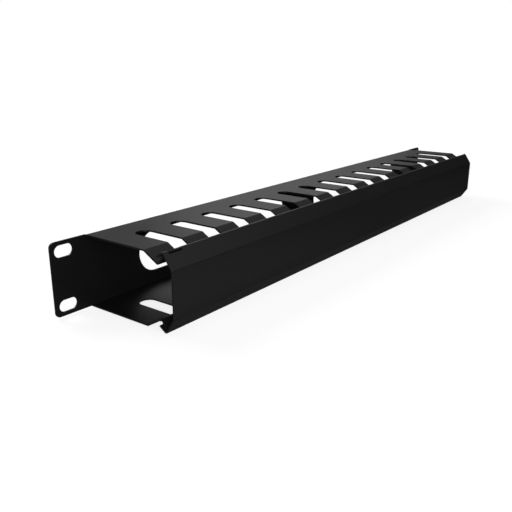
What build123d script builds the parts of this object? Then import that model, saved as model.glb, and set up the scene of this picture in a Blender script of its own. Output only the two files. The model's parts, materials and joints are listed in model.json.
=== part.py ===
"""Horizontal cable manager for a 19 inch rack, one rack unit high.

A folded steel channel bolts to the rack by its two ears. Its top and bottom
flanges are slotted into fingers that slope inwards at the front. A second
folded sheet, the cover, closes the front. The four end fingers are turned
outwards at their tips, and a tongue on each stands in a notch of the cover.

Frame: X along the length, the rear face of the back plate and ears at Y = 0,
the front towards -Y, Z up, with the origin at the middle of the rear face.
All sizes are in millimetres.
"""
from build123d import *
import os
from math import cos, radians, sin

# Rack mounting
panel_width = 482.6
panel_height = 43.4
ear_width = 24.1
hole_inset = 8.75
hole_pitch_z = 31.75
hole_length = 12.0
hole_height = 7.0
ear_corner = 3.0

# Sheet and its bends
sheet = 1.0
bend_inside = 0.4

# Channel
flange_depth = 48.55
finger_length = 12.3
finger_angle = 30.0

# Slots between the fingers
slot_count = 15
slot_width = 10.9
slot_back = 19.2
end_finger_width = 17.5

# Turned-out tips of the end fingers
tip_inset = 0.9
shoulder_gap = 0.3
tongue_height = 8.5
tongue_gap = 0.3

# Openings in the back plate
window_height = 26.4
window_margin = 38.9
window_bridge = 45.6

# Cover, placed from the ends of the fingers
cover_setback = 0.25
cover_ahead = 9.4
cover_inside = 2.0
bevel_angle = 34.0
bevel_length = 11.4
lip_length = 6.2

# Notches in the cover
notch_width = 9.7
notch_depth = 2.3

bend_outside = bend_inside + sheet
body_length = panel_width - 2 * ear_width
end_finger_middle = (body_length - end_finger_width) / 2
slot_span = body_length - 2 * end_finger_width - slot_width
slot_pitch = slot_span / (slot_count - 1)
slot_centres = [i * slot_pitch - slot_span / 2 for i in range(slot_count)]
window_length = (body_length - 2 * window_margin - window_bridge) / 2
window_middle = (window_bridge + window_length) / 2


def toward(angle):
    """Unit vector in the section plane, at an angle from +Y towards +Z."""
    return Vector(cos(radians(angle)), sin(radians(angle)))


def upper_and_lower(points):
    """The points of the upper half followed by their mirror image, as one line."""
    return points + [Vector(p.X, -p.Y) for p in reversed(points)]


# Section of the channel, outer face, upper half
finger_way = toward(180 + finger_angle)
tip_way = toward(90 + finger_angle)
back_corner = Vector(0, panel_height / 2)
flange_corner = Vector(-flange_depth, panel_height / 2)
finger_end = flange_corner + finger_way * finger_length
finger_end_inner = finger_end - tip_way * sheet
tip_corner = finger_end - finger_way * sheet
tongue_end = tip_corner + tip_way * (tongue_height - sheet)
plain_line = upper_and_lower([finger_end, flange_corner, back_corner])
plain_bends = [bend_outside] * 4
hooked_line = upper_and_lower([tongue_end, tip_corner, flange_corner, back_corner])
hooked_bends = [bend_inside] + [bend_outside] * 4 + [bend_inside]

# Section of the cover, outer face, upper half
bevel_way = toward(90 - bevel_angle)
lip_way = toward(-bevel_angle)
front_corner = finger_end - Vector(cover_ahead, cover_inside)
bevel_corner = front_corner + bevel_way * bevel_length
lip_end = bevel_corner + lip_way * lip_length
lip_end_inner = lip_end - bevel_way * sheet
cover_line = upper_and_lower([lip_end, bevel_corner, front_corner])
cover_bends = [bend_outside] * 4

# The full width of a turned-out tip ends just inside the lip, so that the cover pulls off
tip_base = finger_end_inner - finger_way * sheet
tip_shoulder = (lip_end_inner.Y - shoulder_gap - tip_base.Y) / tip_way.Y


# Channel: back plate, two flanges of fingers and two ears, folded from one sheet
with BuildPart() as channel:
    # Between the first and the last slot the fingers are plain
    with BuildSketch(Plane.YZ):
        with BuildLine():
            plain_face = FilletPolyline(*plain_line, radius=plain_bends)
            offset(plain_face, amount=sheet, side=Side.RIGHT)
        make_face()
    extrude(amount=slot_centres[-1], both=True)

    # The end fingers turn outwards at their tips
    for side in (-1, 1):
        with BuildSketch(Plane.YZ.offset(side * slot_centres[-1])):
            with BuildLine():
                hooked_face = FilletPolyline(*hooked_line, radius=hooked_bends)
                offset(hooked_face, amount=sheet, side=Side.RIGHT)
            make_face()
        extrude(amount=side * (body_length / 2 - slot_centres[-1]))

    # The ears carry on in the plane of the back plate
    ear_middle = (body_length + ear_width) / 2
    with BuildSketch(Plane.XZ) as ears:
        with Locations((-ear_middle, 0), (ear_middle, 0)):
            Rectangle(ear_width, panel_height)
        corners = ears.vertices().group_by(Axis.X)
        fillet(corners[0] + corners[-1], ear_corner)
    extrude(amount=sheet)

    # Rack holes
    with BuildSketch(Plane.XZ):
        with GridLocations(panel_width - 2 * hole_inset, hole_pitch_z, 2, 2):
            SlotOverall(hole_length, hole_height)
    extrude(amount=sheet, mode=Mode.SUBTRACT)

    # Openings for cables through the back plate
    with BuildSketch(Plane.XZ):
        with Locations((-window_middle, 0), (window_middle, 0)):
            SlotOverall(window_length, window_height)
    extrude(amount=sheet, mode=Mode.SUBTRACT)

    # Slots with a round rear end, open at the finger tips, through both flanges
    slot_end = slot_back + slot_width / 2
    slot_front = -front_corner.X
    with BuildSketch(Plane.XY):
        with Locations(*[(x, -slot_end) for x in slot_centres]):
            Circle(slot_width / 2)
        with Locations(*[(x, -(slot_end + slot_front) / 2) for x in slot_centres]):
            Rectangle(slot_width, slot_front - slot_end)
    extrude(amount=panel_height, both=True, mode=Mode.SUBTRACT)

    # A turned-out tip is narrower than its finger, and steps in again to the tongue
    tip_start = sheet + bend_inside
    tip_width = end_finger_width - 2 * tip_inset
    tongue_width = notch_width - 2 * tongue_gap
    for x in (-end_finger_middle, end_finger_middle):
        for start, kept_width in ((tip_start, tip_width), (tip_shoulder, tongue_width)):
            cut_low = finger_end_inner + tip_way * start + finger_way * sheet
            cut_high = cut_low + tip_way * tongue_height
            cut_back = finger_way * (-3 * sheet)
            cut_width = (end_finger_width - kept_width) / 2
            cut_middle = (kept_width + cut_width) / 2
            for cut_x in (x - cut_middle, x + cut_middle):
                with BuildSketch(Plane.YZ.offset(cut_x)):
                    with BuildLine():
                        Polyline(cut_low, cut_high, cut_high + cut_back, cut_low + cut_back, close=True)
                    make_face()
                    mirror(about=Plane.XZ)
                extrude(amount=cut_width / 2, both=True, mode=Mode.SUBTRACT)

# Cover: front plate, two bevels and two lips, folded from one sheet
with BuildPart() as cover:
    with BuildSketch(Plane.YZ):
        with BuildLine():
            cover_face = FilletPolyline(*cover_line, radius=cover_bends)
            offset(cover_face, amount=sheet, side=Side.LEFT)
        make_face()
    extrude(amount=body_length / 2 - cover_setback, both=True)

    # A notch through the lip and over the bend, above each tongue and below it
    notch_outer = bevel_corner + bevel_way * sheet - lip_way * sheet
    notch_along = lip_way * (lip_length + 2 * sheet)
    notch_down = bevel_way * -(notch_depth + sheet)
    for x in (-end_finger_middle, end_finger_middle):
        with BuildSketch(Plane.YZ.offset(x)):
            with BuildLine():
                Polyline(
                    notch_outer,
                    notch_outer + notch_along,
                    notch_outer + notch_along + notch_down,
                    notch_outer + notch_down,
                    close=True,
                )
            make_face()
            mirror(about=Plane.XZ)
        extrude(amount=notch_width / 2, both=True, mode=Mode.SUBTRACT)

channel.part.label = "channel"
cover.part.label = "cover"

os.makedirs("parts", exist_ok=True)
export_step(channel.part, "parts/channel.step")
export_step(cover.part, "parts/cover.step")
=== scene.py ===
# %% [markdown]
# # A horizontal cable manager for a server rack
#
# The real object is two pieces of folded steel sheet, one millimetre thick and powder-coated
# black. The channel carries the cables between two rows of fingers, and the cover closes its
# front. This lesson dresses the finished construction: it gives both pieces the soft edges and
# the satin coat of the real sheet, and sets them in a plain studio.

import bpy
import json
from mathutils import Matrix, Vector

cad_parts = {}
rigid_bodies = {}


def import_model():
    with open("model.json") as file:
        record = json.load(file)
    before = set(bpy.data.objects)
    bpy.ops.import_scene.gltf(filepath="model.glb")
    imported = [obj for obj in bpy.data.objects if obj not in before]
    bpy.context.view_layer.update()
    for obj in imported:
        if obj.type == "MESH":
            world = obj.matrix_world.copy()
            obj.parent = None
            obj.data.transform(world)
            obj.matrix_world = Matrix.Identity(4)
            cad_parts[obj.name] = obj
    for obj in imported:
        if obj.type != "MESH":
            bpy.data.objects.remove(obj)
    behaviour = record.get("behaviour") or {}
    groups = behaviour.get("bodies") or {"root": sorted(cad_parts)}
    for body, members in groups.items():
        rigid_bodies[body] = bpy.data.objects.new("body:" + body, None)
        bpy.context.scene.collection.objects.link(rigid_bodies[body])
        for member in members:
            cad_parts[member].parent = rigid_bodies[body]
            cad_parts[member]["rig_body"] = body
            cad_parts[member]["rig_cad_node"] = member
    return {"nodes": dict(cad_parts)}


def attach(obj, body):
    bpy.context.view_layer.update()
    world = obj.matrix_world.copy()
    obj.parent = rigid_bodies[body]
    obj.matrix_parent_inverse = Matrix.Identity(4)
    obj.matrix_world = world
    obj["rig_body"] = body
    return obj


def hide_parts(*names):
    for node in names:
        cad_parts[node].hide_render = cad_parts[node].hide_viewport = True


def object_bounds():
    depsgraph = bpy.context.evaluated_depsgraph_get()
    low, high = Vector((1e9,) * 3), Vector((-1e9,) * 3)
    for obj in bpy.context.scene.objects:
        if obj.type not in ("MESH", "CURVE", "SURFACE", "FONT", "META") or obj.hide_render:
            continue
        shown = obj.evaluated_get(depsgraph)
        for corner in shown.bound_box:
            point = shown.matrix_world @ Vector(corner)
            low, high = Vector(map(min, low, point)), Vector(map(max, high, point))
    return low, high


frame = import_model()
construction_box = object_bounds()
print("construction box", [[round(v, 4) for v in corner] for corner in construction_box])

# %% Modules
import json
from math import cos, radians, sin

import bpy
from mathutils import Vector

millimetre = 0.001

# %% [markdown]
# ## The camera
#
# The photograph was taken from the left of the object and a little above it, with a long
# perspective: the left ear is near and the right end far away. The camera could be placed by eye,
# but the place below was worked out from the standard width and hole spacing of a rack panel, so
# that the render and the photograph can be laid over each other.

# %% Camera
camera_place = Vector((-424.867, -281.434, 115.559)) * millimetre
camera_heading = radians(52.498)
camera_pitch = radians(17.637)
picture_pixels = 512
focal_pixels = 617.7

bpy.ops.object.select_all(action="DESELECT")
camera_turn = (radians(90) - camera_pitch, 0, -camera_heading)
bpy.ops.object.camera_add(location=camera_place, rotation=camera_turn)
camera = bpy.context.object
camera.name = "camera"
camera.data.sensor_width = 36
camera.data.lens = focal_pixels / picture_pixels * camera.data.sensor_width
camera.data.clip_start = 0.01
bpy.context.scene.camera = camera
print("lens", round(camera.data.lens, 2), "mm")

# %% [markdown]
# ## Writing a material as a formula
#
# A coat is a sum of a few patterns, and a sum is easiest to read as a formula. The class below
# wraps the socket that a node gives out. Adding or multiplying two of them adds a Math node, so
# that `1 - mask * 0.3` builds the nodes it describes. Everything else comes from the `node`
# method.

# %% Sockets that add up
class Value:
    """A socket of a material, on which the arithmetic operators add Math nodes."""

    def __init__(self, tree, socket):
        self.tree = tree
        self.socket = socket

    def math(self, operation, first, second):
        return self.tree.node("ShaderNodeMath", {"operation": operation}, {0: first, 1: second})

    def __add__(self, other):
        return self.math("ADD", self, other)

    def __radd__(self, other):
        return self.math("ADD", other, self)

    def __sub__(self, other):
        return self.math("SUBTRACT", self, other)

    def __rsub__(self, other):
        return self.math("SUBTRACT", other, self)

    def __mul__(self, other):
        return self.math("MULTIPLY", self, other)

    def __rmul__(self, other):
        return self.math("MULTIPLY", other, self)

    def __pow__(self, other):
        return self.math("POWER", self, other)

    def at_least(self, limit):
        return self.math("MAXIMUM", self, limit)

    def rise(self, low, high):
        """A soft step from 0 at the low value to 1 at the high one."""
        inputs = {"Value": self, "From Min": low, "From Max": high}
        return self.tree.node("ShaderNodeMapRange", {"interpolation_type": "SMOOTHSTEP"}, inputs)


class Shader:
    """The nodes of a material or of the sky, and a short way to add to them."""

    def __init__(self, owner):
        owner.use_nodes = True
        self.owner = owner
        self.nodes = owner.node_tree.nodes
        self.links = owner.node_tree.links
        self.nodes.clear()

    def node(self, kind, settings=None, inputs=None, output=0):
        """Add a node, set it, fill its sockets with numbers or values, and give one output."""
        made = self.nodes.new(kind)
        for name, setting in (settings or {}).items():
            setattr(made, name, setting)
        for socket, value in (inputs or {}).items():
            if isinstance(value, Value):
                self.links.new(value.socket, made.inputs[socket])
            else:
                made.inputs[socket].default_value = value
        return Value(self, made.outputs[output]) if made.outputs else made


# %% [markdown]
# ## The powder coat
#
# Powder is sprayed on dry and melted in an oven. It flows into a satin skin about 80 micrometres
# thick that is never quite flat: close up it has the soft ripple called orange peel, and finer
# grains that did not flow out. The gloss changes a little from place to place, because the skin
# is thicker in some parts than in others. All three are noise patterns read from the object's own
# coordinates, so they have their real size and stay put when the piece moves. An image texture
# would need an unwrapped surface, and would repeat.

# %% Powder coat
coat_black = (0.0036, 0.0036, 0.0038, 1)
coat_worn = (0.0060, 0.0060, 0.0063, 1)
coat_roughness = 0.35
coat_shine = 0.3
ripple_size = 2.4 * millimetre
grain_size = 0.35 * millimetre
cloud_size = 45 * millimetre
ripple_share = 0.7
bump_strength = 0.35
bump_depth = 0.05 * millimetre


def noise(tree, place, size, detail):
    """Soft noise whose features are about the given size."""
    inputs = {"Vector": place, "Scale": 1 / size, "Detail": detail}
    return tree.node("ShaderNodeTexNoise", {}, inputs)


def powder_coat(name):
    """Black satin powder coat on steel."""
    tree = Shader(bpy.data.materials.new(name))
    place = tree.node("ShaderNodeTexCoord", output="Object")
    ripple = noise(tree, place, ripple_size, detail=1.0)
    grain = noise(tree, place, grain_size, detail=2.0)
    cloud = noise(tree, place, cloud_size, detail=3.0)
    height = ripple * ripple_share + grain * (1 - ripple_share)
    bump_inputs = {"Height": height, "Strength": bump_strength, "Distance": bump_depth}
    bump = tree.node("ShaderNodeBump", {}, bump_inputs)
    colour = tree.node(
        "ShaderNodeMix",
        {"data_type": "RGBA"},
        {"Factor": cloud * 0.5 + grain * 0.3, "A": coat_black, "B": coat_worn},
        output="Result",
    )
    roughness = coat_roughness + cloud * 0.06 + grain * 0.04
    surface = tree.node(
        "ShaderNodeBsdfPrincipled",
        {},
        {
            "Base Color": colour,
            "Roughness": roughness,
            "Specular IOR Level": coat_shine,
            "Normal": bump,
        },
    )
    tree.node("ShaderNodeOutputMaterial", {}, {"Surface": surface})
    print(name, "has", len(tree.nodes), "nodes")
    return tree.owner


channel_coat = powder_coat("channel_powder_coat")
cover_coat = powder_coat("cover_powder_coat")

# %% [markdown]
# ## The two sheets
#
# The construction gives both sheets their exact form, with edges as sharp as a drawing. On the
# real sheet the punched edges are broken by a fine burr-free radius, and the coat rounds them
# further, so each edge catches a thin line of light. The sheets could be modelled again from
# planes. A copy of the construction's mesh is better, because its sizes are already right: its
# loose triangles are merged into faces, and only the edges are worked on.

# %% Copy and merge a sheet
merge_distance = 0.002 * millimetre
flat_angle = radians(0.5)


def merged_copy(node, name):
    """A copy of a construction piece, its loose triangles merged into faces."""
    bpy.ops.object.select_all(action="DESELECT")
    piece = frame["nodes"][node].copy()
    piece.data = frame["nodes"][node].data.copy()
    piece.parent = None
    piece.name = name
    piece.data.name = name
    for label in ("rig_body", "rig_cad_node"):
        del piece[label]
    bpy.context.scene.collection.objects.link(piece)
    bpy.context.view_layer.objects.active = piece
    piece.select_set(True)
    bpy.ops.object.mode_set(mode="EDIT")
    bpy.ops.mesh.select_all(action="SELECT")
    bpy.ops.mesh.remove_doubles(threshold=merge_distance)
    bpy.ops.mesh.dissolve_limited(angle_limit=flat_angle)
    bpy.ops.mesh.select_all(action="DESELECT")
    bpy.ops.object.mode_set(mode="OBJECT")
    print(name, "corners", len(piece.data.vertices))
    return piece


channel_sheet = merged_copy("channel", "channel_sheet")
cover_sheet = merged_copy("cover", "cover_sheet")

# %% [markdown]
# ## Shoulders of the turned-out tips
#
# A turned-out tip is as wide as its finger up to two shoulders, and only a narrow tongue goes on
# through the notch of the cover. On the real object the shoulders reach up to the lip of the
# cover, and the tip bends a little as the cover is pulled off. The construction is rigid, so its
# shoulders stop lower and let the lip pass. Here they get their real height: the corners of their
# top edges are slid along the tip.

# %% Raise the shoulders
# Y and Z of the two corners of a shoulder's top edge, seen from the end of the channel
shoulder_rear = Vector((-59.696, 18.405)) * millimetre
shoulder_front = Vector((-60.562, 17.905)) * millimetre
shoulder_search = 0.05 * millimetre
shoulder_rise = 2.6 * millimetre
tip_angle = radians(120)


def raise_shoulders(piece, side):
    """Slide the shoulders of the upper tips (side 1) or the lower ones (side -1) outwards."""
    bpy.ops.object.select_all(action="DESELECT")
    bpy.context.view_layer.objects.active = piece
    piece.select_set(True)
    found = 0
    for vertex in piece.data.vertices:
        place = Vector((vertex.co.y, side * vertex.co.z))
        reach = min((place - shoulder_rear).length, (place - shoulder_front).length)
        if reach < shoulder_search:
            vertex.select = True
            found += 1
    bpy.context.tool_settings.mesh_select_mode = (True, False, False)
    bpy.ops.object.mode_set(mode="EDIT")
    slide = (0, cos(tip_angle) * shoulder_rise, side * sin(tip_angle) * shoulder_rise)
    bpy.ops.transform.translate(value=slide)
    bpy.ops.mesh.select_all(action="DESELECT")
    bpy.ops.object.mode_set(mode="OBJECT")
    print("moved", found, "corners of the shoulders")


raise_shoulders(channel_sheet, 1)
raise_shoulders(channel_sheet, -1)

# %% Soften the edges
edge_radius = 0.09 * millimetre
edge_segments = 2
edge_angle = radians(35)


def soften(piece, coat):
    """Round the edges of a sheet, keep its flat faces flat in the light, and coat it."""
    bpy.ops.object.select_all(action="DESELECT")
    bpy.context.view_layer.objects.active = piece
    piece.select_set(True)
    bevel = piece.modifiers.new("edges", "BEVEL")
    bevel.width = edge_radius
    bevel.segments = edge_segments
    bevel.limit_method = "ANGLE"
    bevel.angle_limit = edge_angle
    bpy.ops.object.modifier_apply(modifier=bevel.name)
    bpy.ops.object.shade_smooth_by_angle(angle=edge_angle)
    level = piece.modifiers.new("normals", "WEIGHTED_NORMAL")
    level.mode = "FACE_AREA"
    level.weight = 100
    level.keep_sharp = True
    bpy.ops.object.modifier_apply(modifier=level.name)
    piece.data.materials.clear()
    piece.data.materials.append(coat)
    print(piece.name, "faces", len(piece.data.polygons))


soften(channel_sheet, channel_coat)
soften(cover_sheet, cover_coat)

# %% [markdown]
# ## Which sheet moves
#
# The cover pulls off to the front and the channel stays on the rack. Each dressed sheet rides on
# the body of the construction piece that it stands for, and takes that piece's place.

# %% Bodies and replaced pieces
for sheet, body in ((channel_sheet, "channel"), (cover_sheet, "cover")):
    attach(sheet, body)
    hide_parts(body)
    print(sheet.name, "rides on", body)

# %% [markdown]
# ## The studio
#
# The photograph shows the object on pure white, and yet its faces are nearly black: they reflect
# a dim room, and only the top reflects the white behind. A white backdrop and floor show to the
# camera, and the floor keeps a faint shadow. In reflections the backdrop is white low down behind
# the object and fades upwards. In reflections the floor glows with painted light and shade
# instead of the light of the lamps. It is white far behind, has a painted pool of light at the
# front left and painted shade at the right, and is painted dark close behind and under the
# object, so that the cut edges of the sheet stay dark. Three soft glows stand in the sky: the
# ceiling, which the sloping fingers reflect, a skylight for the upper bevel of the cover, and the
# far corner of the room, which shows on both flanges near the left end. Dark and pale cards
# around the object could do the same, but they would also change the light that falls on it.

# %% Floor
floor_height = construction_box[0][2]
floor_width = 30.0
floor_paint = (0.8, 0.8, 0.8, 1)
shadow_share = 0.35
seen_near = 1.25
seen_far = 1.6
# Strengths of the floor's painted reflection: a painted pool of light at the front left, and
# painted shade in the middle, at the right and under the object.
front_left, front_middle, front_right = 0.43, 0.09, 0.03
under_left, under_middle = 0.11, 0.07

bpy.ops.object.select_all(action="DESELECT")
bpy.ops.mesh.primitive_plane_add(size=floor_width, location=(0, 0, floor_height))
floor = bpy.context.object
floor.name = "floor"
paint = Shader(bpy.data.materials.new("floor_paint"))
camera_ray = paint.node("ShaderNodeLightPath", output="Is Camera Ray")
glossy_ray = paint.node("ShaderNodeLightPath", output="Is Glossy Ray")
passing_ray = paint.node("ShaderNodeLightPath", output="Is Transmission Ray")
spot = paint.node("ShaderNodeTexCoord", output="Object")
across = paint.node("ShaderNodeSeparateXYZ", {}, {0: spot}, output="X")
deep = paint.node("ShaderNodeSeparateXYZ", {}, {0: spot}, output="Y")
far = paint.node("ShaderNodeVectorMath", {"operation": "LENGTH"}, {0: spot}, output="Value")
# In reflections the floor shows no lamp light, only this painted glow. It is white far behind and
# painted dark close behind and under the object. In front it is a painted pool of light at the
# left that fades to painted shade at the right.
behind = deep.rise(0.12, 0.35)
front = 1 - deep.rise(-0.1, -0.068)
under = 1 - behind - front
left = 1 - across.rise(-0.3, 0.1)
right = across.rise(0.1, 0.5)
middle = 1 - left - right
painted_front_shade = left * front_left + middle * front_middle + right * front_right
painted_under_shade = left * under_left + middle * under_middle
painted_reflection = behind + front * painted_front_shade + under * painted_under_shade
seen = far.rise(0.35, 1.0) * (seen_far - seen_near) + seen_near
strength = camera_ray * seen + glossy_ray * painted_reflection + passing_ray
share = camera_ray * (1 - shadow_share) + glossy_ray + passing_ray
painted = paint.node("ShaderNodeBsdfDiffuse", {}, {"Color": floor_paint})
glowing = paint.node("ShaderNodeEmission", {}, {"Color": (1, 1, 1, 1), "Strength": strength})
mixed = paint.node("ShaderNodeMixShader", {}, {0: share, 1: painted, 2: glowing})
paint.node("ShaderNodeOutputMaterial", {}, {"Surface": mixed})
floor.data.materials.append(paint.owner)
print("floor at", round(floor_height / millimetre, 2), "mm")


# %% Sky
def toward(azimuth, elevation):
    """The direction at an angle from +X towards +Y, and at a height above the horizon."""
    turn, lift = radians(azimuth), radians(elevation)
    return (cos(turn) * cos(lift), sin(turn) * cos(lift), sin(lift))


def glow(tree, place, azimuth, elevation, tightness):
    """A soft round glow in the sky, 1 in its middle."""
    settings = {"operation": "DOT_PRODUCT"}
    inputs = {0: place, 1: toward(azimuth, elevation)}
    facing = tree.node("ShaderNodeVectorMath", settings, inputs, output="Value")
    return facing.at_least(0) ** tightness


backdrop_fade = 0.975
glows = (
    # name, azimuth, elevation, tightness, strength
    ("ceiling", 5, 45, 12, 0.35),
    ("skylight", -75, 40, 20, 1.0),
    ("far corner", 52, 28, 12, 0.12),
)

sky = Shader(bpy.data.worlds.new("sky"))
direction = sky.node("ShaderNodeTexCoord", output="Generated")
camera_ray = sky.node("ShaderNodeLightPath", output="Is Camera Ray")
glossy_ray = sky.node("ShaderNodeLightPath", output="Is Glossy Ray")
passing_ray = sky.node("ShaderNodeLightPath", output="Is Transmission Ray")
height = sky.node("ShaderNodeSeparateXYZ", {}, {0: direction}, output="Z")
depth = sky.node("ShaderNodeSeparateXYZ", {}, {0: direction}, output="Y")
backdrop = depth.rise(0.0, 0.4) * (1.0 - height.rise(-0.05, 0.12) * backdrop_fade)
light = backdrop * glossy_ray
for name, azimuth, elevation, tightness, strength in glows:
    light = light + glow(sky, direction, azimuth, elevation, tightness) * strength
    print("glow of the", name, "at", azimuth, "and", elevation, "degrees")
light = (camera_ray + passing_ray).at_least(light)
shine = sky.node("ShaderNodeBackground", {}, {"Color": (1, 1, 1, 1), "Strength": light})
sky.node("ShaderNodeOutputWorld", {}, {"Surface": shine})
bpy.context.scene.world = sky.owner
print("sky has", len(sky.nodes), "nodes")

# %% [markdown]
# ## The lamps
#
# Six soft square lamps stand around the object. The strongest is behind it and shines through the
# rear openings onto the lower flange. A low one at the left shines into the open end, and lights
# the near ear and the inner side of the back plate. The other four fill the shade. Lamps can be
# set by eye alone. Here the first strengths were worked out from renders of the object in the
# light of one lamp each, because light adds up. Several were then changed by trial, and the low
# lamp was added. In this light a plain matt grey coat comes out at 0.7 to 1.0 times the colour
# that is written, on the outer faces that the camera sees.
#
# A seventh lamp is small, weak and near. The upper bevel of the cover reflects it at the left end
# only, so the bevel fades from pale to dark along its length, as it does in the photograph. A
# large lamp far away would show over the whole length. The camera doesn't see any of the lamps.

# %% Lamps
lamps = (
    # name, place, width and watts
    ("lamp_above", (0.0, 0.0, 1.6), 0.9, 3.0),
    ("lamp_behind", (0.0, 1.3, 1.0), 0.9, 15.5),
    ("lamp_left_front", (-0.9, -1.2, 0.9), 0.9, 7.0),
    ("lamp_left_low", (-1.2, -0.8, 0.25), 0.4, 11.5),
    ("lamp_right_front", (0.9, -1.2, 0.8), 0.9, 1.0),
    ("lamp_right_behind", (1.35, 0.95, 0.95), 0.9, 2.6),
    ("lamp_near_bevel", (0.08, -0.36, 0.28), 0.2, 0.06),
)
for name, place, width, watts in lamps:
    bpy.ops.object.select_all(action="DESELECT")
    aim = (-Vector(place)).to_track_quat("-Z", "Y").to_euler()
    bpy.ops.object.light_add(type="AREA", location=place, rotation=aim)
    lamp = bpy.context.object
    lamp.name = name
    lamp.visible_camera = False
    lamp.data.shape = "SQUARE"
    lamp.data.size = width
    lamp.data.energy = watts
print("lamps", len(lamps))

bpy.context.scene.view_settings.view_transform = "Standard"
